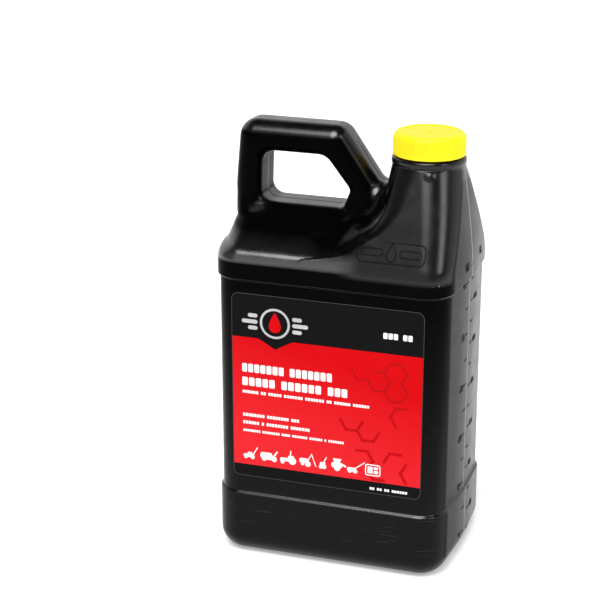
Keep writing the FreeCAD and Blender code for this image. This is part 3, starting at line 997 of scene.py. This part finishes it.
pieces = [
    lay_on_skin(gauge(), "level_marks", side_plane, MARK_HEIGHT, MARKS),
    lay_on_skin(moulded_drop(), "moulded_drop", front_plane, MOTIF_HEIGHT, MARKS),
    red_field().make("label_red_field", FRONT, FIELD, FILM_RED),
    hexagons(1.5).make("label_hexagon_shade", FRONT, SHADE, FILM_SHADE),
    hexagons(0.4).make("label_hexagons", FRONT, LINE, FILM_DARK_RED),
    emblem().make("label_emblem", FRONT, INK, INK_SILVER),
    emblem_drop().make("label_emblem_drop", FRONT, INK, FILM_RED),
    copy_lines().make("label_copy", FRONT, INK, INK_WHITE),
    machines().make("label_machines", FRONT, INK, INK_WHITE),
    label_edge().make("label_edge", FRONT, RIM, EDGE_GREY),
    red_field().make("back_red_field", BACK, FIELD, FILM_RED),
    back_copy().make("back_copy", BACK, INK, INK_WHITE),
    bars_on_white().make("back_bars", BACK, OVERPRINT, FILM_BLACK),
    label_edge().make("back_label_edge", BACK, RIM, EDGE_GREY),
]
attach(bottle, "jug")
for piece in pieces:
    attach(piece, "jug")

FINISHES = {
    "screw_cap": YELLOW,
    "cap_liner": FOAM,
    "foil_seal": FOIL,
    "front_label": FILM_BLACK,
    "back_label": FILM_BLACK,
    "oil_fill": OIL,
}
for node, finish in FINISHES.items():
    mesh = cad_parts[node].data
    mesh.materials.clear()
    mesh.materials.append(finish)


# ---------------------------------------------------------------- stage, light and camera

FLOOR_SIZE = 8.0
KEY_FROM = (0.0, -0.454, 0.891)
KEY_STRENGTH = 3.0
KEY_ANGLE = math.radians(36)
SOFTBOX_TARGET = (0.0, 0.0, 0.11)

# How bright the room is in each direction, as (place, brightness) stops. A place is how far the
# direction points along an axis, from -1 to 1.
ROOM_BY_Z = [(-1.0, 1.0), (0.35, 1.0), (0.60, 0.75), (0.76, 0.04), (1.0, 0.02)]
ROOM_BY_X = [(-1.0, 0.25), (-0.6, 0.3), (-0.3, 1.0), (0.3, 1.0), (0.5, 0.35), (1.0, 0.35)]
ROOM_BY_Y = [(-0.1, 0.0), (0.2, 1.0)]
HORIZON_BY_Z = [(0.05, 1.0), (0.12, 0.0)]

LENS = 104.6
SENSOR = 36.0
SHIFT_X, SHIFT_Y = -0.0873, 0.0751
AIM = (0.0, 0.0, 0.10476)
DISTANCE = 0.8877
AZIMUTH = math.radians(17.58)
ELEVATION = math.radians(20.1)
ROLL = math.radians(0.59)


def orbit(target, azimuth, elevation, distance):
    """A place seen from target; azimuth is measured from -Y towards +X."""
    return (target[0] + distance * math.sin(azimuth) * math.cos(elevation),
            target[1] - distance * math.cos(azimuth) * math.cos(elevation),
            target[2] + distance * math.sin(elevation))


def face_towards(piece, target):
    """Turns a light or a camera to look at target."""
    way = np.array(target) - np.array(piece.location)
    piece.rotation_euler = Vector(way).to_track_quat("-Z", "Y").to_euler()


def softbox(name, azimuth, elevation, distance, size, power):
    """A rectangular light that faces the jug."""
    light = bpy.data.lights.new(name, "AREA")
    light.shape = "RECTANGLE"
    light.size, light.size_y = size
    light.energy = power
    lamp = bpy.data.objects.new(name, light)
    lamp.location = orbit(SOFTBOX_TARGET, math.radians(azimuth), math.radians(elevation), distance)
    face_towards(lamp, SOFTBOX_TARGET)
    bpy.context.scene.collection.objects.link(lamp)


bpy.ops.mesh.primitive_plane_add(size=FLOOR_SIZE)
floor = bpy.context.object
floor.name = "floor"
floor.data.materials.append(FLOOR)

sun = bpy.data.lights.new("key", "SUN")
sun.energy = KEY_STRENGTH
sun.angle = KEY_ANGLE
key = bpy.data.objects.new("key", sun)
key.location = KEY_FROM
face_towards(key, (0.0, 0.0, 0.0))
bpy.context.scene.collection.objects.link(key)

softbox("right_front", azimuth=69, elevation=37, distance=1.3, size=(0.3, 0.6), power=3.2)
bpy.context.scene.view_settings.view_transform = "Standard"

world = bpy.data.worlds.new("studio")
world.use_nodes = True
bpy.context.scene.world = world
room = world.node_tree
room_x, room_y, room_z = axes(room, "Generated")
around = calc(room, "MAXIMUM", profile(room, room_x, ROOM_BY_X), profile(room, room_y, ROOM_BY_Y))
around = calc(room, "MAXIMUM", profile(room, room_z, HORIZON_BY_Z), around)
glow = calc(room, "MULTIPLY", profile(room, room_z, ROOM_BY_Z), around)
room.links.new(glow, room.nodes["Background"].inputs["Color"])
room.nodes["Background"].inputs["Strength"].default_value = 1.0

camera_data = bpy.data.cameras.new("camera")
camera_data.sensor_width = SENSOR
camera_data.lens = LENS
camera_data.shift_x = SHIFT_X
camera_data.shift_y = SHIFT_Y
camera_data.clip_start = 0.01
camera = bpy.data.objects.new("camera", camera_data)
bpy.context.scene.collection.objects.link(camera)
bpy.context.scene.camera = camera
camera.location = orbit(AIM, AZIMUTH, ELEVATION, DISTANCE)
face_towards(camera, AIM)
camera.rotation_euler.rotate_axis("Z", ROLL)
